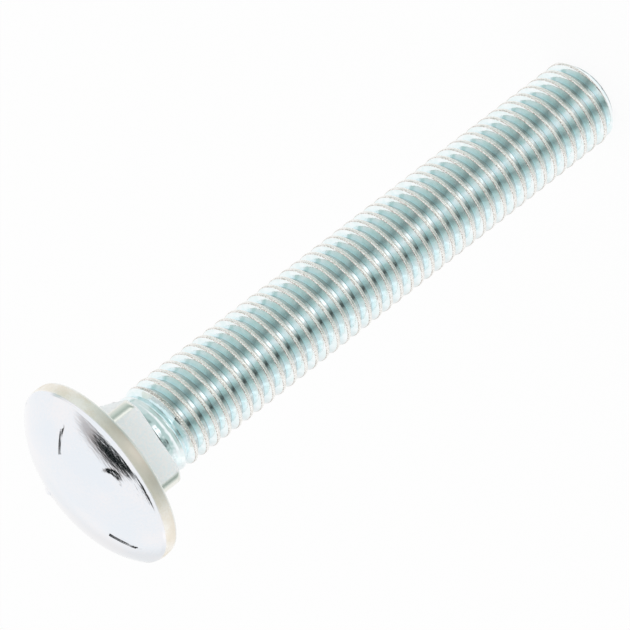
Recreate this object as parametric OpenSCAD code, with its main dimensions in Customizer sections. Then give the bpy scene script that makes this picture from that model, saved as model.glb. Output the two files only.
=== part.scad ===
// Carriage bolt, half inch by three and a half inches, with a coarse thread along its whole shank.
// It is one forging with a rolled thread: a domed head, a square neck and a threaded shank.
// It is built with the seat of the head at height 0 and the tip upwards, and is then turned over
// to stand on the flat end of its tip. Lying down it would roll.

/* [Head] */
// Diameter of the head over its rim
head_d = 26.9; // [24:0.1:29]
// Height of the head, from its seat to the top of the dome
head_h = 6.75; // [5.5:0.05:8]
// Radius of the arc of the dome
dome_r = 24; // [19:0.5:40]
// Radius of the edge between the dome and the rim
rim_edge_r = 0.6; // [0.2:0.1:1.2]
// Radius of the edge between the rim and the seat
seat_edge_r = 0.35; // [0.1:0.05:0.6]

/* [Square neck] */
// Width of the neck across its flats
neck_w = 12.5; // [11.8:0.1:15]
// Depth of the neck below the seat
neck_depth = 5.9; // [3:0.1:9]
// Radius of the four long edges of the neck
neck_edge_r = 1.2; // [0.5:0.1:2]
// Radius of the fillet between the neck and the seat
neck_fillet_r = 0.5; // [0.2:0.1:1]
// Width that the end of the neck is turned down to across its corners
neck_end_d = 15.6; // [14:0.1:19]

/* [Thread] */
// Length from the seat of the head to the tip
bolt_length = 88.9; // [30:0.1:120]
// Outer diameter of the thread
thread_d = 12.6; // [11.6:0.05:12.7]
// Number of threads to the inch
threads_per_inch = 13; // [11:1:16]
// Angle between the flanks of one groove
flank_angle = 60; // [50:1:70]
// Flat left on each crest, as a share of the pitch
crest_share = 0.23; // [0.1:0.005:0.26]
// Flat at the bottom of each groove, as a share of the pitch
root_share = 0.17; // [0.1:0.005:0.25]
// Turn of the thread about the axis of the bolt, from a flat of the neck
thread_turn = 109.1; // [0:0.1:360]
// Length over which the first groove fades into the plain body at the neck
run_out = 2.6; // [1:0.1:6]
// Diameter of the plain body at the neck
body_d = 11.4; // [10.6:0.05:11.6]

/* [Tip] */
// Diameter of the flat end of the tip
tip_d = 9.9; // [7.5:0.1:10.2]
// Angle between the chamfer of the tip and the axis of the bolt
tip_angle = 45; // [30:1:50]

/* [Hidden] */

// Facets round the thread. It is a multiple of four, so that the thread is as wide along X as along Y.
facets = 28;
// How far one part of the forging is carried into the next
root_in = 1;

inch = 25.4;
head_r = head_d / 2;
thread_r = thread_d / 2;
tip_r = tip_d / 2;
body_r = body_d / 2;
pitch = inch / threads_per_inch;
crest_flat = pitch * crest_share;
root_flat = pitch * root_share;
flank_run = (pitch - crest_flat - root_flat) / 2;
flank_rise = 1 / tan(flank_angle / 2);
groove_r = thread_r - flank_run * flank_rise;
tip_rise = tan(tip_angle);

// Arc of the dome: its centre on the axis, and where it runs into the edge above the rim
dome_z = dome_r - head_h;
edge_x = head_r - rim_edge_r;
edge_z = dome_z - sqrt(pow(dome_r - rim_edge_r, 2) - pow(edge_x, 2));
edge_lean = asin(edge_x / (dome_r - rim_edge_r));
meet_x = dome_r * sin(edge_lean);
meet_z = dome_z - dome_r * cos(edge_lean);

// The thread is a lattice of points: four for each pitch along a rib, and one rib for each facet.
// A rib is numbered on past a full turn, so that each turn is one pitch higher than the last.
thread_z0 = neck_depth - root_in;
first_rib = floor(facets * ((thread_z0 - neck_depth) / pitch + thread_turn / 360)) - facets;
last_rib = ceil(facets * ((bolt_length - neck_depth) / pitch + thread_turn / 360 + 1));

function rib_angle(rib) = 360 * rib / facets;
function crest_z(rib) = neck_depth + pitch * (rib / facets - thread_turn / 360);
function tip_cone(z) = tip_r + (bolt_length - z) * tip_rise;
function clamp_to(value, low, high) = max(low, min(high, value));

// Share of the full groove at a height: none at the neck, all of it past the run-out
function groove_share(z) = let (t = clamp_to((z - neck_depth) / run_out, 0, 1)) t * t * (3 - 2 * t);

// A crest that the chamfer cuts is wider: its two edges lie where the flanks meet the cone
function crest_edge(z, side) =
    let (
        foot = z + side * (crest_flat / 2 + flank_run),
        full = z + side * crest_flat / 2,
        cut = (groove_r + side * foot * flank_rise - tip_r - bolt_length * tip_rise)
            / (side * flank_rise - tip_rise)
    )
    tip_cone(full) >= thread_r ? full : side > 0 ? min(cut, foot) : max(cut, foot);

// Height of each of the four points of a pitch: the two edges of the crest and of the groove
function lattice_z(rib, i) =
    i == 0 ? crest_edge(crest_z(rib), -1)
    : i == 1 ? crest_edge(crest_z(rib), 1)
    : crest_z(rib) + crest_flat / 2 + flank_run + (i - 2) * root_flat;

function full_r(i) = i < 2 ? thread_r : groove_r;

// Radius and height of a lattice point, kept between the two ends of the shank
function lattice_rz(rib, i) =
    let (
        z = clamp_to(lattice_z(rib, i), thread_z0, bolt_length),
        r = body_r + (full_r(i) - body_r) * groove_share(z)
    )
    z >= bolt_length ? [tip_r, bolt_length]
    : z <= thread_z0 ? [body_r, thread_z0]
    : [min(r, tip_cone(z)), z];

function lattice_point(rib, i) =
    let (rz = lattice_rz(rib, i))
    [rz[0] * cos(rib_angle(rib)), rz[0] * sin(rib_angle(rib)), rz[1]];

function point_index(rib, i) = i < 4
    ? (rib - first_rib) * 4 + i
    : (rib + facets - first_rib) * 4;

function is_open(points, face) =
    norm(points[face[0]] - points[face[1]]) > 0.0001
    && norm(points[face[1]] - points[face[2]]) > 0.0001
    && norm(points[face[2]] - points[face[0]]) > 0.0001;

module head_profile() {
    intersection() {
        translate([0, dome_z])
        circle(r = dome_r, $fn = 180);
        translate([0, -head_h - 1])
        square([meet_x, head_h + 1 + meet_z]);
    }
    translate([edge_x, edge_z])
    circle(r = rim_edge_r, $fn = 32);
    translate([head_r - seat_edge_r, -seat_edge_r])
    circle(r = seat_edge_r, $fn = 32);
    polygon([
        [0, meet_z],
        [meet_x, meet_z],
        [edge_x, edge_z],
        [head_r, edge_z],
        [head_r, -seat_edge_r],
        [head_r - seat_edge_r, -seat_edge_r],
        [head_r - seat_edge_r, 0],
        [0, 0]
    ]);
}

module head() {
    rotate_extrude($fn = 96)
    head_profile();
}

module neck_outline() {
    inner_w = neck_w - 2 * neck_edge_r;
    square([neck_w, inner_w], center = true);
    square([inner_w, neck_w], center = true);
    for (x = [-1, 1], y = [-1, 1])
        translate([x * inner_w / 2, y * inner_w / 2])
        circle(r = neck_edge_r, $fn = 32);
}

// The square prism, with its four corners turned down to a cone where it meets the shank
module neck_prism() {
    end_r = neck_end_d / 2;
    intersection() {
        translate([0, 0, -root_in])
        linear_extrude(neck_depth + root_in)
        neck_outline();
        rotate_extrude($fn = 96)
        polygon([
            [0, -root_in],
            [end_r + neck_depth + root_in, -root_in],
            [end_r, neck_depth],
            [0, neck_depth]
        ]);
    }
}

module fillet_profile() {
    difference() {
        translate([-neck_fillet_r, -neck_fillet_r])
        square(2 * neck_fillet_r);
        translate([neck_fillet_r, neck_fillet_r])
        circle(r = neck_fillet_r, $fn = 32);
    }
}

// A hollow fillet along each side of the neck and round each of its long edges
module neck_fillet() {
    inner_w = neck_w - 2 * neck_edge_r;
    for (side = [0:3])
        rotate(90 * side) {
            translate([neck_w / 2, inner_w / 2, 0])
            rotate([90, 0, 0])
            linear_extrude(inner_w)
            fillet_profile();
            translate([inner_w / 2, inner_w / 2, 0])
            rotate_extrude(angle = 90, $fn = 96)
            translate([neck_edge_r, 0])
            fillet_profile();
        }
}

module neck() {
    neck_prism();
    neck_fillet();
}

// A right-hand thread: each face of the lattice spans two ribs, from one edge of the profile
// to the next, and those that the two ends flatten to nothing are left out
module thread() {
    points = [for (rib = [first_rib:last_rib + facets], i = [0:3]) lattice_point(rib, i)];
    sides = [for (rib = [first_rib:last_rib - 1], i = [0:3])
        let (
            a = point_index(rib, i),
            b = point_index(rib + 1, i),
            c = point_index(rib + 1, i + 1),
            d = point_index(rib, i + 1)
        )
        each [[a, c, b], [a, d, c]]];
    bottom = [for (rib = [first_rib:first_rib + facets - 1]) point_index(rib, 0)];
    top = [for (rib = [last_rib + facets - 1:-1:last_rib]) point_index(rib, 0)];
    // The facets are trued to the outer diameter and to the two ends of the shank
    resize([thread_d, thread_d, bolt_length - thread_z0])
    polyhedron(
        points = points,
        faces = concat([for (face = sides) if (is_open(points, face)) face], [bottom, top])
    );
}

module carriage_bolt() {
    color("gainsboro")
    translate([0, 0, bolt_length])
    rotate([180, 0, 0]) {
        head();
        neck();
        thread();
    }
}

carriage_bolt();
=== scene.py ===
"""Looks of a zinc plated carriage bolt that stands on its tip."""

import math

import bmesh
import bpy
from mathutils import Matrix, Vector


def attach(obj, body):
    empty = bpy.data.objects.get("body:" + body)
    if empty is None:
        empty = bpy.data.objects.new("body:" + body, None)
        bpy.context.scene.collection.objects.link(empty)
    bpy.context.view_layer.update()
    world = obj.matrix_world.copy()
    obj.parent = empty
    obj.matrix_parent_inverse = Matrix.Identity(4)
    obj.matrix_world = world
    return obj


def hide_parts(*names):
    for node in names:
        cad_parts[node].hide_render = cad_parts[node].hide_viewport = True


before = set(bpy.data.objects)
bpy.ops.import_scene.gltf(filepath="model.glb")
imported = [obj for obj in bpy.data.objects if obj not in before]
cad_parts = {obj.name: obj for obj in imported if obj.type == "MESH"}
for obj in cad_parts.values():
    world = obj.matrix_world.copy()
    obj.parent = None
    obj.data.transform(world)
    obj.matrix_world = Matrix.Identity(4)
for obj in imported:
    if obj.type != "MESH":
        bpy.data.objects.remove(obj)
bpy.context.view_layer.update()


# The bolt: a half inch carriage bolt, cold forged from steel wire in one piece. It has a domed head,
# a square neck that bites into timber, and a coarse thread rolled along the whole shank. One skin is
# laid over it in columns that run from the top of the dome to the flat tip.
MM = 0.001

# Head, measured from its seat, in millimetres. The dome is a ball's cap that falls away from the
# ball beyond DOME_TURN, by DOME_DROP times the square of the distance past it.
HEAD_R = 13.445
HEAD_H = 6.75
DOME_R = 24.0
DOME_TURN = 9.5
DOME_DROP = 0.041
RIM_EDGE_R = 0.8
RIM_BULGE = 0.06
SEAT_EDGE_R = 0.35

# Square neck, with its corners turned down at its end, and the face round its foot
NECK_HALF = 6.25
NECK_DEPTH = 5.9
NECK_EDGE_R = 1.2
NECK_FILLET_R = 0.5
NECK_END_R = 7.8
NECK_END_EDGE = 0.3
NECK_FACE_R = 6.2

# Thread, and the flat end of the tip: rings of its shallow hollow as radius and depth, and its middle
BOLT_LENGTH = 88.9
THREAD_R = 6.3
BODY_R = 5.7
PITCH = 25.4 / 13
THREAD_TURN = 109.1
RUN_OUT = 4.4
TIP_R = 4.95
TIP_RINGS = [(4.5, 0.0), (3.4, 0.0), (2.6, 0.08), (1.2, 0.2)]
TIP_HOLLOW = 0.23

# One side of a crest, from its middle to its flank: each pair is a distance along the bolt and a
# depth below the outer diameter. The rolled crest is rounded off, and the groove has a flat bottom.
# The flank towards the tip is a little steeper than the one towards the head.
CREST_HALF = 0.225
GROOVE_DEPTH = 1.015
FLANK_SLOPE = math.tan(math.radians(60))
FLANK_RUN = GROOVE_DEPTH / FLANK_SLOPE
STEEPER = 0.07
CREST_SIDE = [(0.0, 0.0), (0.1, 0.005), (0.17, 0.02), (0.22, 0.045)]
CREST_SIDE += [(CREST_HALF + depth / FLANK_SLOPE, depth) for depth in (0.09, 0.13)]

# Raised marks on the dome: three plain lines, an even third of a turn apart, and a plain round pad
LINE_ANGLES = [36.2, 156.2, 276.2]
LINE_START_R = 6.8
LINE_END_R = 11.1
LINE_HALF_WIDTH = 0.35
LINE_HEIGHT = 0.32
PAD_ANGLE = 89.6
PAD_CENTRE_R = 9.7
PAD_R = 1.95
PAD_STEP = 0.45
PAD_HEIGHT = 0.125

# Columns of the skin: how many stand over the half of a flat of the neck and over its rounded corner,
# and where more of them stand over the marks, in degrees from the middle of the mark. Of two that
# stand closer than CLOSEST_COLUMNS, one is left out.
FLAT_COLUMNS = 8
CORNER_COLUMNS = 7
LINE_COLUMNS = (-3.2, -2.3, -1.5, -0.7, 0, 0.7, 1.5, 2.3, 3.2)
PAD_COLUMNS = [1.1 * step for step in range(-12, 13)]
CLOSEST_COLUMNS = 0.2

# Rings of the skin. Those of the dome are given by the radius where each stretch starts and their
# number in it, and those of the rim and the neck by their share of its depth.
DOME_STRETCHES = [(0.8, 6), (6.0, 2), (6.6, 9), (7.6, 34), (11.9, 6)]
RIM_EDGE_STEPS = 6
RIM_SHARES = (0.15, 0.32, 0.5, 0.68, 0.85)
SEAT_RADII = (12.9, 12.0, 10.8, 9.6)
FILLET_STEPS = 5
NECK_SHARES = (0.35, 0.7, 0.93)
NECK_END_STEPS = 4
QUARTER = math.pi / 2


def smooth_step(value, start, end):
    share = max(0.0, min(1.0, (value - start) / (end - start)))
    return share * share * (3 - 2 * share)


def evenly(start, end, steps):
    return [start + (end - start) * step / steps for step in range(steps)]


# Columns stand close together over the rounded corners of the neck
def shank_angles():
    corner = math.degrees(math.atan2(NECK_HALF - NECK_EDGE_R, NECK_HALF))
    angles = []
    for start in (0, 90, 180, 270):
        angles += evenly(start, start + corner, FLAT_COLUMNS)
        angles += evenly(start + corner, start + 90 - corner, CORNER_COLUMNS)
        angles += evenly(start + 90 - corner, start + 90, FLAT_COLUMNS)
    return angles


# The head has more of them over its marks
def head_angles():
    angles = shank_angles()
    for line in LINE_ANGLES:
        angles += [line + step for step in LINE_COLUMNS]
    angles += [PAD_ANGLE + step for step in PAD_COLUMNS]
    kept = []
    for angle in sorted(angle % 360 for angle in angles):
        if not kept or angle - kept[-1] > CLOSEST_COLUMNS or angle in shank:
            kept.append(angle)
    return kept


def on_bolt(angle, radius, below):
    """A point of the standing bolt, from its angle, radius and distance below the seat."""
    turn = math.radians(angle)
    return (
        radius * math.cos(turn) * MM,
        -radius * math.sin(turn) * MM,
        (BOLT_LENGTH - below) * MM,
    )


def mark_height(angle, radius):
    """How far the marks stand up from the dome: a line has a ridge, and the pad a flat top."""
    height = 0.0
    for line in LINE_ANGLES:
        turn = math.radians(angle - line)
        if math.cos(turn) > 0:
            across = abs(radius * math.sin(turn))
            along = radius * math.cos(turn)
            past = max(LINE_START_R + LINE_HALF_WIDTH - along, along - LINE_END_R + LINE_HALF_WIDTH, 0)
            away = math.hypot(across, past)
            height = max(height, LINE_HEIGHT * (1 - away / LINE_HALF_WIDTH))
    turn = math.radians(angle - PAD_ANGLE)
    away = math.hypot(radius * math.cos(turn) - PAD_CENTRE_R, radius * math.sin(turn))
    return max(height, PAD_HEIGHT * min(1.0, (PAD_R - away) / PAD_STEP))


def neck_radius(angle, grow=0.0):
    """Distance from the axis to the side of the square neck, grown outwards for its fillet."""
    side = math.radians(angle % 90)
    side = min(side, QUARTER - side)
    half = NECK_HALF + grow
    edge = NECK_EDGE_R + grow
    centre = half - edge
    flat = half / math.cos(side)
    if flat * math.sin(side) <= centre:
        return flat
    along = centre * (math.cos(side) + math.sin(side))
    return along + math.sqrt(edge * edge - 2 * centre * centre + along * along)


# Each ring of the head and the neck is a list of a radius and a distance below the seat, one pair
# for every column
shank = shank_angles()
columns = head_angles()
rings = []


def round_ring(radius, below):
    rings.append([(radius, below)] * len(columns))


def dome_height(radius):
    fall = DOME_DROP * max(0.0, radius - DOME_TURN) ** 2
    return DOME_R - HEAD_H - math.sqrt(DOME_R**2 - radius**2) + fall


# The edge above the rim starts where it leans as much as the dome does. The dome's lean is taken at
# a radius close to that place, from its height a little way to both sides.
edge_x = HEAD_R - RIM_EDGE_R
close_x = edge_x + 0.7 * RIM_EDGE_R
little = 0.01
edge_slope = (dome_height(close_x + little) - dome_height(close_x - little)) / (2 * little)
edge_lean = math.atan(edge_slope)
meet_x = edge_x + RIM_EDGE_R * math.sin(edge_lean)
edge_z = dome_height(meet_x) + RIM_EDGE_R * math.cos(edge_lean)

dome_radii = []
for (start, steps), (end, _) in zip(DOME_STRETCHES, [*DOME_STRETCHES[1:], (meet_x, 0)]):
    dome_radii += evenly(start, end, steps)
for radius in [*dome_radii, meet_x]:
    rings.append([(radius, dome_height(radius) - mark_height(angle, radius)) for angle in columns])
for step in range(1, RIM_EDGE_STEPS + 1):
    lean = edge_lean + (QUARTER - edge_lean) * step / RIM_EDGE_STEPS
    inset = RIM_BULGE * math.sin(lean)
    round_ring(edge_x + RIM_EDGE_R * math.sin(lean) - inset, edge_z - RIM_EDGE_R * math.cos(lean))
for share in RIM_SHARES:
    inset = RIM_BULGE * (2 * share - 1) ** 2
    round_ring(HEAD_R - inset, edge_z + (-SEAT_EDGE_R - edge_z) * share)
for step in range(FILLET_STEPS + 1):
    lean = QUARTER * step / FILLET_STEPS
    seat_x = HEAD_R - SEAT_EDGE_R + (SEAT_EDGE_R - RIM_BULGE) * math.cos(lean)
    round_ring(seat_x, -SEAT_EDGE_R + SEAT_EDGE_R * math.sin(lean))
for radius in SEAT_RADII:
    round_ring(radius, 0.0)
for step in range(FILLET_STEPS + 1):
    lean = QUARTER * step / FILLET_STEPS
    grow = NECK_FILLET_R * (1 - math.sin(lean))
    rings.append([(neck_radius(angle, grow), NECK_FILLET_R * (1 - math.cos(lean))) for angle in columns])


# The turned corners: the prism ends sooner where it stands out of the cone
def neck_corner(angle):
    return NECK_DEPTH - NECK_END_EDGE - max(0.0, neck_radius(angle) - NECK_END_R)


for share in NECK_SHARES:
    rings.append([
        (neck_radius(angle), NECK_FILLET_R + (neck_corner(angle) - NECK_FILLET_R) * share)
        for angle in columns
    ])
for step in range(NECK_END_STEPS + 1):
    lean = QUARTER * step / NECK_END_STEPS
    edge = NECK_END_EDGE * (1 - math.cos(lean))
    ring = []
    for angle in columns:
        outer = neck_radius(angle)
        inner = min(outer, NECK_END_R)
        below = neck_corner(angle) + (NECK_DEPTH - neck_corner(angle)) * math.sin(lean)
        ring.append((outer + (inner - outer) * math.sin(lean) - edge, below))
    rings.append(ring)
round_ring(NECK_FACE_R, NECK_DEPTH)

points = [(0.0, 0.0, (BOLT_LENGTH + HEAD_H) * MM)]
faces = []
per_ring = len(columns)
for ring in rings:
    points += [on_bolt(angle, radius, below) for angle, (radius, below) in zip(columns, ring)]


def band(first, second, count):
    """Joins two closed rings of points, from the numbers of their first points."""
    for side in range(count):
        after = (side + 1) % count
        faces.append((first + side, first + after, second + after, second + side))


for side in range(per_ring):
    faces.append((0, 1 + (side + 1) % per_ring, 1 + side))
for step in range(len(rings) - 1):
    band(1 + step * per_ring, 1 + (step + 1) * per_ring, per_ring)


# The face round the foot of the neck gathers the columns of the head into those of the shank
def nearest_shank(angle):
    return min(shank, key=lambda other: abs((angle - other + 180) % 360 - 180))


foot = len(points)
points += [on_bolt(nearest_shank(angle), BODY_R, NECK_DEPTH) for angle in columns]
band(foot - per_ring, foot, per_ring)

# The thread is one long strip: its columns climb by a pitch in each turn, and the strip is
# flattened where it runs past the neck or past the tip. Each row follows one line of the profile:
# the number of its crest, the side of that crest that it is on, and its distance and depth.
profile = [(0, 1, distance, depth) for distance, depth in CREST_SIDE]
profile += [(0, 1, CREST_HALF + FLANK_RUN - STEEPER, GROOVE_DEPTH)]
profile += [(1, -1, CREST_HALF + FLANK_RUN, GROOVE_DEPTH)]
profile += [(1, -1, distance, depth) for distance, depth in reversed(CREST_SIDE[1:])]


def cut_width(middle, side):
    """How much wider a crest is on one side where its flank runs into the chamfer of the tip."""
    cone = TIP_R + BOLT_LENGTH - middle
    if cone - side * CREST_HALF >= THREAD_R:
        return 1.0
    edge = (THREAD_R + FLANK_SLOPE * CREST_HALF - cone) / (FLANK_SLOPE - side)
    return min(edge, CREST_HALF + FLANK_RUN) / CREST_HALF


def thread_point(angle, crest, side, distance, depth):
    middle = NECK_DEPTH + PITCH * (crest + (angle - THREAD_TURN) / 360)
    if depth < GROOVE_DEPTH:
        distance = distance * cut_width(middle, side)
        depth = min(max(depth, FLANK_SLOPE * (distance - CREST_HALF)), GROOVE_DEPTH)
    below = middle + side * distance
    if below <= NECK_DEPTH:
        return on_bolt(angle, BODY_R, NECK_DEPTH)
    if below >= BOLT_LENGTH:
        return on_bolt(angle, TIP_R, BOLT_LENGTH)
    full = THREAD_R - depth
    radius = BODY_R + (full - BODY_R) * smooth_step(below, NECK_DEPTH, NECK_DEPTH + RUN_OUT)
    return on_bolt(angle, min(radius, TIP_R + BOLT_LENGTH - below), below)


rows = []
for crest in range(-1, math.ceil((BOLT_LENGTH - NECK_DEPTH) / PITCH) + 1):
    rows += [(crest + later, side, distance, depth) for later, side, distance, depth in profile]
strip = len(points)
per_row = len(shank)
for row in rows:
    points += [thread_point(angle, *row) for angle in shank]
for row in range(len(rows) - 1):
    for side in range(per_row - 1):
        start = strip + row * per_row + side
        faces.append((start, start + 1, start + 1 + per_row, start + per_row))
for row in range(len(rows) - 1 - len(profile)):
    start = strip + row * per_row + per_row - 1
    after = strip + (row + len(profile)) * per_row
    faces.append((start, after, after + per_row, start + per_row))

# Flat end of the tip, with a shallow hollow that the forging leaves in its middle
tip = len(points)
for radius, hollow in [(TIP_R, 0.0), *TIP_RINGS]:
    points += [on_bolt(angle, radius, BOLT_LENGTH - hollow) for angle in shank]
points.append((0.0, 0.0, TIP_HOLLOW * MM))
for step in range(len(TIP_RINGS)):
    band(tip + step * per_row, tip + (step + 1) * per_row, per_row)
last_ring = tip + len(TIP_RINGS) * per_row
for side in range(per_row):
    faces.append((last_ring + side, last_ring + (side + 1) % per_row, len(points) - 1))

# Points that fall together are joined, and sharp corners are marked
SAME_POINT = 0.002
NO_EDGE = 0.001
SHARP_ANGLE = 40

bolt_mesh = bpy.data.meshes.new("bolt")
bolt_mesh.from_pydata(points, [], faces)
skin = bmesh.new()
skin.from_mesh(bolt_mesh)
bmesh.ops.remove_doubles(skin, verts=skin.verts, dist=SAME_POINT * MM)
bmesh.ops.dissolve_degenerate(skin, edges=skin.edges, dist=NO_EDGE * MM)
bmesh.ops.triangulate(skin, faces=[face for face in skin.faces if len(face.verts) > 4])
for face in skin.faces:
    face.smooth = True
skin.to_mesh(bolt_mesh)
skin.free()
bolt_mesh.set_sharp_from_angle(angle=math.radians(SHARP_ANGLE))
bolt = bpy.data.objects.new("bolt", bolt_mesh)
bpy.context.scene.collection.objects.link(bolt)


class Socket:
    """One output of a shader node. Arithmetic on it adds Math nodes to its tree."""

    def __init__(self, tree, output=None):
        self.tree = tree
        self.output = output

    def node(self, kind, settings, inputs, output=0):
        made = self.tree.nodes.new(kind)
        for name, value in settings.items():
            if name == "stops":
                for stop in value[2:]:
                    made.color_ramp.elements.new(stop[0])
                for element, (position, colour) in zip(made.color_ramp.elements, value):
                    element.position = position
                    element.color = colour
            else:
                setattr(made, name, value)
        for name, value in inputs.items():
            if isinstance(value, Socket):
                self.tree.links.new(value.output, made.inputs[name])
            else:
                made.inputs[name].default_value = value
        return Socket(self.tree, made.outputs[output] if len(made.outputs) else None)

    def math(self, operation, first, second):
        return self.node("ShaderNodeMath", {"operation": operation}, {0: first, 1: second})

    def __add__(self, other):
        return self.math("ADD", self, other)

    def __radd__(self, other):
        return self.math("ADD", other, self)

    def __sub__(self, other):
        return self.math("SUBTRACT", self, other)

    def __rsub__(self, other):
        return self.math("SUBTRACT", other, self)

    def __mul__(self, other):
        return self.math("MULTIPLY", self, other)

    def __rmul__(self, other):
        return self.math("MULTIPLY", other, self)

    def __truediv__(self, other):
        return self.math("DIVIDE", self, other)

    def __rtruediv__(self, other):
        return self.math("DIVIDE", other, self)

    def part(self, axis):
        """One number of a vector."""
        return self.node("ShaderNodeSeparateXYZ", {}, {"Vector": self}, output=axis)

    def between(self, start, end):
        """Rises smoothly from 0 to 1 as the value goes from start to end."""
        return self.node(
            "ShaderNodeMapRange",
            {"interpolation_type": "SMOOTHSTEP"},
            {"Value": self, "From Min": start, "From Max": end},
        )

    def mixed(self, first, second):
        """The first colour where this value is 0 and the second where it is 1."""
        return self.node(
            "ShaderNodeMix",
            {"data_type": "RGBA"},
            {"Factor": self, 6: first, 7: second},
            output=2,
        )


# Bright zinc with a faint blue tint. It is glossy on the dome and in the rolled grooves, frosted on the
# forged sides of the neck, and warm and rough with wear along the rim and the crests. Painted shade
# darkens the front of the rim and the bottoms of the grooves, tints the deep flanks teal, and draws dark
# lines along the edges of the crests.
zinc = bpy.data.materials.new("zinc")
zinc.use_nodes = True
zinc.node_tree.nodes.clear()
plate = Socket(zinc.node_tree)

# Its colours. Each pair goes from the darker to the lighter patches.
DOME_COLOURS = (0.83, 0.87, 0.92, 1.0), (0.90, 0.89, 0.91, 1.0)
RIM_COLOURS = (0.92, 0.85, 0.74, 1.0), (1.0, 0.97, 0.92, 1.0)
# Painted shade: a darker brown for the front of the rim
RIM_SHADE_COLOUR = (0.74, 0.65, 0.55, 1.0)
NECK_COLOURS = (0.93, 0.98, 1.0, 1.0), (1.0, 1.0, 1.0, 1.0)
NECK_CORNER_COLOUR = (0.90, 0.90, 0.84, 1.0)
FLANK_COLOURS = (0.82, 0.92, 0.92, 1.0), (0.93, 0.97, 0.98, 1.0)
# Painted shade: the flanks turn more teal and a little darker deep in the groove
DEEP_FLANK_SHADE_COLOUR = (0.74, 0.92, 0.97, 1.0)
# Painted shade: the bottoms of the grooves are darker
GROOVE_SHADE_COLOURS = (0.56, 0.65, 0.66, 1.0), (0.68, 0.76, 0.77, 1.0)
# Painted reflection: dark brown lines along the edges of the crests, in place of dark reflections there,
# broken up by the grain
CREST_EDGE_SHADE_COLOURS = (0.5, 0.46, 0.42, 1.0), (0.93, 0.9, 0.87, 1.0)
CREST_COLOURS = (0.82, 0.79, 0.73, 1.0), (1.0, 1.0, 0.98, 1.0)

# How rough the polished zinc is, and how much rougher the other finishes are
POLISHED = 0.08
GRAINY = 0.04
ROUGH_RIM = 0.3
ROUGH_NECK = 0.45
ROUGH_CORNER = 0.2
ROUGH_CREST_EDGE = 0.06
ROUGH_CREST = 0.05

# How much of each finish is matt and not metallic
MATT_NECK = 0.95
MATT_CREST = 0.25
MATT_RIM = 0.2

# How high the relief of each finish stands, in steps of RELIEF millimetres
RELIEF = 0.01
DENTS_HIGH = 0.5
GRAIN_HIGH = 0.04
DOME_RINGS_HIGH = 0.6
OUTER_RINGS_HIGH = 1.2
ROLLED_HIGH = 0.3
RIPPLES_HIGH = 2.0
RUN_OUT_RIPPLES_HIGH = 6.0
FROST_HIGH = 1.5
WORN_HIGH = 0.4

# The side of the rim that painted shade darkens the most
RIM_SHADE_SIDE = (0.08, -0.997, 0.0)

place = plate.node("ShaderNodeTexCoord", {}, {}, output="Object")
from_axis = plate.node("ShaderNodeVectorMath", {"operation": "MULTIPLY"}, {0: place, 1: (1.0, 1.0, 0.0)})
facing = plate.node("ShaderNodeVectorMath", {"operation": "NORMALIZE"}, {0: from_axis})
reach = plate.node("ShaderNodeVectorMath", {"operation": "LENGTH"}, {0: from_axis}, output="Value")
height = place.part("Z")


def beyond(start, end):
    """Rises from 0 to 1 between two distances from the axis, in millimetres."""
    return reach.between(start * MM, end * MM)


def above_neck_end(start, end):
    """Rises from 0 to 1 between two heights over the end of the neck, in millimetres."""
    return height.between((BOLT_LENGTH - NECK_DEPTH + start) * MM, (BOLT_LENGTH - NECK_DEPTH + end) * MM)


def noise(vector, scale, detail, roughness=0.5):
    """Soft patches, so many to the metre."""
    sockets = {"Vector": vector, "Scale": scale, "Detail": detail, "Roughness": roughness}
    return plate.node("ShaderNodeTexNoise", {}, sockets)


def around(turns, along):
    """Marks that run round the bolt: longer with fewer turns, and closer the faster along grows."""
    sockets = {"X": facing.part("X") * turns, "Y": facing.part("Y") * turns, "Z": along}
    return noise(plate.node("ShaderNodeCombineXYZ", {}, sockets), 1.0, 3.0)


# Where each finish lies
on_head = above_neck_end(NECK_DEPTH + 0.1, NECK_DEPTH + 0.4)
on_rim = on_head * beyond(HEAD_R - 0.145, HEAD_R - 0.065)
on_thread = 1 - above_neck_end(-0.3, 0.1)
on_crest = on_thread * beyond(THREAD_R - 0.16, THREAD_R - 0.1)
crest_middle = on_thread * beyond(THREAD_R - 0.05, THREAD_R - 0.02)
by_neck = above_neck_end(-4.5, -1.5)
# Where painted shade darkens the bottoms of the grooves
groove_shade_mask = on_thread * (1 - beyond(THREAD_R - GROOVE_DEPTH + 0.025, THREAD_R - GROOVE_DEPTH + 0.085))
# Where painted shade tints the flanks deep in the groove
deep_flank_shade = 1 - beyond(THREAD_R - 0.9, THREAD_R - 0.3)
on_neck = (1 - on_thread) * (1 - on_head)
on_corner = on_neck * beyond(NECK_END_R + 0.1, NECK_END_R + 0.3)
frosted = on_neck - on_corner

cloud = noise(place, 120.0, 2.0)
grain = noise(place, 6000.0, 2.0)
frost = noise(place, 2600.0, 4.0, 0.7)
dents = noise(place, 350.0, 1.0)
ripples = noise(place, 1100.0, 1.0)
rings_on_head = around(9.0, reach * 5000.0)
rolled = around(14.0, height * 8000.0)
streaks = around(5.0, height * 3000.0)

head_colour = (cloud * 0.6 + frost * 0.4).between(0.38, 0.62).mixed(*DOME_COLOURS)
rim_colour = (grain * 0.4 + dents * 0.6).between(0.38, 0.62).mixed(*RIM_COLOURS)
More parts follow.
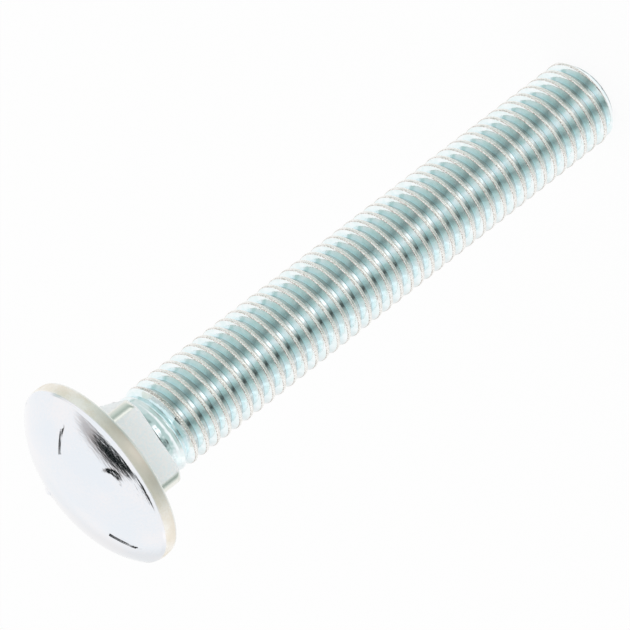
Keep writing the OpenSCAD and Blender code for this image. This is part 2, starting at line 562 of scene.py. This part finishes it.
# Painted shade: the rim turns darker and browner on its front side, in soft patches
rim_shade_facing = plate.node(
    "ShaderNodeVectorMath",
    {"operation": "DOT_PRODUCT"},
    {0: facing, 1: RIM_SHADE_SIDE},
    output="Value",
)
rim_shade = rim_shade_facing.between(0.75, 1.0) * (0.5 + 0.5 * cloud)
rim_colour = rim_shade.mixed(rim_colour, RIM_SHADE_COLOUR)
neck_colour = frost.between(0.4, 0.6).mixed(*NECK_COLOURS)
flank_colour = streaks.between(0.3, 0.7).mixed(*FLANK_COLOURS)
# Painted shade: the teal tint on the flanks deep in the groove
flank_colour = (deep_flank_shade * 0.5).mixed(flank_colour, DEEP_FLANK_SHADE_COLOUR)
# Painted shade: a darker colour at the bottoms of the grooves
groove_shade_colour = streaks.between(0.3, 0.7).mixed(*GROOVE_SHADE_COLOURS)
# Painted dark reflection along the crest edges, broken up by the grain
crest_edge_shade_colour = grain.between(0.4, 0.6).mixed(*CREST_EDGE_SHADE_COLOURS)
crest_colour = grain.between(0.35, 0.6).mixed(*CREST_COLOURS)
colour = on_rim.mixed(head_colour, rim_colour)
colour = on_neck.mixed(colour, neck_colour)
colour = on_corner.mixed(colour, NECK_CORNER_COLOUR)
colour = on_thread.mixed(colour, flank_colour)
colour = groove_shade_mask.mixed(colour, groove_shade_colour)
colour = on_crest.mixed(colour, crest_edge_shade_colour)
colour = crest_middle.mixed(colour, crest_colour)

roughness = POLISHED + GRAINY * grain + on_rim * ROUGH_RIM + frosted * ROUGH_NECK
roughness = roughness + on_corner * ROUGH_CORNER + on_crest * ROUGH_CREST_EDGE
roughness = roughness + crest_middle * ROUGH_CREST
metallic = 1.0 - MATT_NECK * frosted - MATT_CREST * crest_middle - MATT_RIM * on_rim

relief = dents * DENTS_HIGH + grain * GRAIN_HIGH
rings_high = DOME_RINGS_HIGH + OUTER_RINGS_HIGH * beyond(9.0, 11.5)
relief = relief + on_head * rings_on_head * rings_high
relief = relief + on_thread * rolled * ROLLED_HIGH
relief = relief + on_thread * ripples * (RIPPLES_HIGH + RUN_OUT_RIPPLES_HIGH * by_neck)
relief = relief + frosted * frost * FROST_HIGH
relief = relief + (on_rim + on_crest) * grain * WORN_HIGH
bump = plate.node(
    "ShaderNodeBump",
    {},
    {"Strength": 1.0, "Distance": RELIEF * MM, "Height": relief},
    output="Normal",
)
surface = plate.node(
    "ShaderNodeBsdfPrincipled",
    {},
    {"Base Color": colour, "Metallic": metallic, "Roughness": roughness, "Normal": bump},
)
plate.node("ShaderNodeOutputMaterial", {}, {"Surface": surface})
bolt_mesh.materials.append(zinc)

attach(bolt, "root")
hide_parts("carriage_bolt")


# The floor: a plain white table that the bolt stands on. To the camera it is as white as the paper
# behind a catalogue picture, and it keeps the bolt's soft shadow. It is clear to the metal, which
# shows the tent instead.
FLOOR_HALF = 4.0
SHADOW_SHARE = 0.08
WHITE = (1.0, 1.0, 1.0, 1.0)

floor_mesh = bpy.data.meshes.new("floor")
floor_mesh.from_pydata(
    [(x * FLOOR_HALF, y * FLOOR_HALF, 0.0) for x, y in ((-1, -1), (1, -1), (1, 1), (-1, 1))],
    [],
    [(0, 1, 2, 3)],
)
floor = bpy.data.objects.new("floor", floor_mesh)
bpy.context.scene.collection.objects.link(floor)

white_table = bpy.data.materials.new("white_table")
white_table.use_nodes = True
white_table.node_tree.nodes.clear()
table = Socket(white_table.node_tree)
in_picture = table.node("ShaderNodeLightPath", {}, {}, output="Is Camera Ray")
in_metal = table.node("ShaderNodeLightPath", {}, {}, output="Is Glossy Ray")
matt = table.node("ShaderNodeBsdfDiffuse", {}, {"Color": WHITE})
glow = table.node("ShaderNodeEmission", {}, {"Color": WHITE, "Strength": 1.0})
clear = table.node("ShaderNodeBsdfTransparent", {}, {"Color": WHITE})
paper = table.node("ShaderNodeMixShader", {}, {0: in_picture * (1 - SHADOW_SHARE), 1: matt, 2: glow})
cover = table.node("ShaderNodeMixShader", {}, {0: in_metal, 1: paper, 2: clear})
table.node("ShaderNodeOutputMaterial", {}, {"Surface": cover})
floor_mesh.materials.append(white_table)


# The light: a white tent all round the bolt. Low down a bright card stands in front of the bolt
# between two dark ones, and they draw the bands in the thread. The roof has a dark opening with a dim
# edge over the head, and a dark hood beside it that shades the raised lines of the dome.
world = bpy.data.worlds.new("tent")
world.use_nodes = True
world.node_tree.nodes.clear()
world.cycles.sampling_method = "NONE"
bpy.context.scene.world = world
tent = Socket(world.node_tree)

# How bright the tent is in each direction round the bolt, in degrees from its front, where 1 is
# white: the floor well below the level, the cards a little below it, and the cloth about level
FLOOR_LEVELS = [
    (-180, 1.0),
    (-80, 0.86),
    (-60, 0.69),
    (-40, 0.34),
    (-12, 0.78),
    (0, 0.93),
    (10, 0.77),
    (39, 0.29),
    (57, 0.52),
    (70, 0.66),
    (100, 0.75),
    (120, 0.92),
    (180, 1.0),
]
CARD_LEVELS = [
    (-180, 1.0),
    (-130, 1.0),
    (-98, 0.86),
    (-88, 1.2),
    (-80, 0.86),
    (-58, 0.7),
    (-38, 0.05),
    (-28, 0.17),
    (-8, 1.05),
    (0, 1.9),
    (8, 1.8),
    (19, 0.9),
    (36, 0.38),
    (62, 0.48),
    (80, 0.67),
    (120, 0.82),
    (180, 1.0),
]
CLOTH_LEVELS = [
    (-180, 1.0),
    (-155, 0.88),
    (-130, 0.88),
    (-102, 1.1),
    (-70, 0.86),
    (-45, 0.64),
    (50, 0.64),
    (70, 0.77),
    (109, 0.77),
    (114, 0.66),
    (122, 0.68),
    (130, 1.0),
    (180, 1.0),
]

# Between which heights of the direction, from -1 straight down to 1 straight up, one kind goes over
# into the next, and where the roof starts
FLOOR_TO_CARD = (-0.5, -0.42)
CARD_TO_CLOTH = (-0.42, -0.18)
CLOTH_TO_WHITE = (0.12, 0.4)
ROOF = (0.3, 0.5)

# What is not fully lit looks a little green, as the white cloth does in its own shade
SHADED_CLOTH = (0.84, 1.0, 0.96, 1.0)
SHADED_LEVELS = (0.62, 0.88)

# Dark ovals in the roof: the place of the middle as seen from below, the turn in degrees, the half
# length and half width, and where the soft edge starts and ends
DIM_EDGE = {"x": 0.2, "y": -0.06, "turn": 27, "long": 0.62, "wide": 0.22, "fade": (0.0, 1.0)}
HOOD = {"x": -0.48, "y": -0.38, "turn": -38, "long": 0.33, "wide": 0.18, "fade": (0.5, 1.2)}
OPENING = {"x": 0.07, "y": -0.17, "turn": 26, "long": 0.4, "wide": 0.14, "fade": (0.55, 1.15)}
DIM_EDGE_SHARE = 0.65
DIM_EDGE_COLOUR = (0.18, 0.12, 0.10, 1.0)
HOOD_COLOUR = (0.02, 0.02, 0.02, 1.0)
OPENING_COLOUR = (0.008, 0.012, 0.012, 1.0)

towards = tent.node("ShaderNodeTexCoord", {}, {}, output="Generated")
ahead = towards.part("X")
behind = towards.part("Y")
above = towards.part("Z")
bearing = tent.math("ARCTAN2", ahead, 0 - behind) / (2 * math.pi) + 0.5


def level_round(levels):
    stops = [(angle / 360 + 0.5, (level, level, level, 1.0)) for angle, level in levels]
    return tent.node("ShaderNodeValToRGB", {"stops": stops}, {"Fac": bearing})


def oval(x, y, turn, long, wide, fade):
    """A soft oval in the roof of the tent: 1 in its middle, and 0 outside it."""
    lean = math.radians(turn)
    along = (ahead - x) * math.cos(lean) + (behind - y) * math.sin(lean)
    across = (behind - y) * math.cos(lean) - (ahead - x) * math.sin(lean)
    along = along / long
    across = across / wide
    return (1 - (along * along + across * across).between(*fade)) * above.between(*ROOF)


level = above.between(*FLOOR_TO_CARD).mixed(level_round(FLOOR_LEVELS), level_round(CARD_LEVELS))
level = above.between(*CARD_TO_CLOTH).mixed(level, level_round(CLOTH_LEVELS))
level = above.between(*CLOTH_TO_WHITE).mixed(level, WHITE).part(0)
tint = level.between(*SHADED_LEVELS).mixed(SHADED_CLOTH, WHITE)
shade = tent.node("ShaderNodeVectorMath", {"operation": "SCALE"}, {"Vector": tint, "Scale": level})
shade = (oval(**DIM_EDGE) * DIM_EDGE_SHARE).mixed(shade, DIM_EDGE_COLOUR)
shade = oval(**HOOD).mixed(shade, HOOD_COLOUR)
shade = oval(**OPENING).mixed(shade, OPENING_COLOUR)
backdrop = tent.node("ShaderNodeLightPath", {}, {}, output="Is Camera Ray").mixed(shade, WHITE)
light = tent.node("ShaderNodeBackground", {}, {"Color": backdrop, "Strength": 1.0})
tent.node("ShaderNodeOutputWorld", {}, {"Surface": light})


# The camera: a long lens that looks down on the head from in front of it. It is rolled far over, so
# that the standing bolt runs from the lower left of the picture to its upper right.
VIEW_AZIMUTH = 9.53
VIEW_ELEVATION = 24.486
VIEW_ROLL = -127.82
LENS = 220.57
FILM_WIDTH = 36.0

# Where the seat of the head lies as the camera sees it, in millimetres
SEAT_LEFT = 26.66
SEAT_BELOW = 19.60
SEAT_AWAY = 493.2

turn = math.radians(VIEW_AZIMUTH)
rise = math.radians(VIEW_ELEVATION)
roll = math.radians(VIEW_ROLL)
level_right = Vector((math.cos(turn), math.sin(turn), 0.0))
level_up = Vector((-math.sin(rise) * math.sin(turn), math.sin(rise) * math.cos(turn), math.cos(rise)))
right = math.cos(roll) * level_right + math.sin(roll) * level_up
up = math.cos(roll) * level_up - math.sin(roll) * level_right
back = right.cross(up)
seat = Vector((0.0, 0.0, BOLT_LENGTH))
spot = (seat + SEAT_LEFT * right + SEAT_BELOW * up + SEAT_AWAY * back) * MM

lens = bpy.data.cameras.new("camera")
lens.lens = LENS
lens.sensor_width = FILM_WIDTH
lens.clip_start = 0.01
lens.clip_end = 50.0
camera = bpy.data.objects.new("camera", lens)
pose = Matrix((right, up, back)).transposed().to_4x4()
pose.translation = spot
camera.matrix_world = pose
bpy.context.scene.collection.objects.link(camera)
bpy.context.scene.camera = camera
bpy.context.scene.view_settings.view_transform = "Standard"
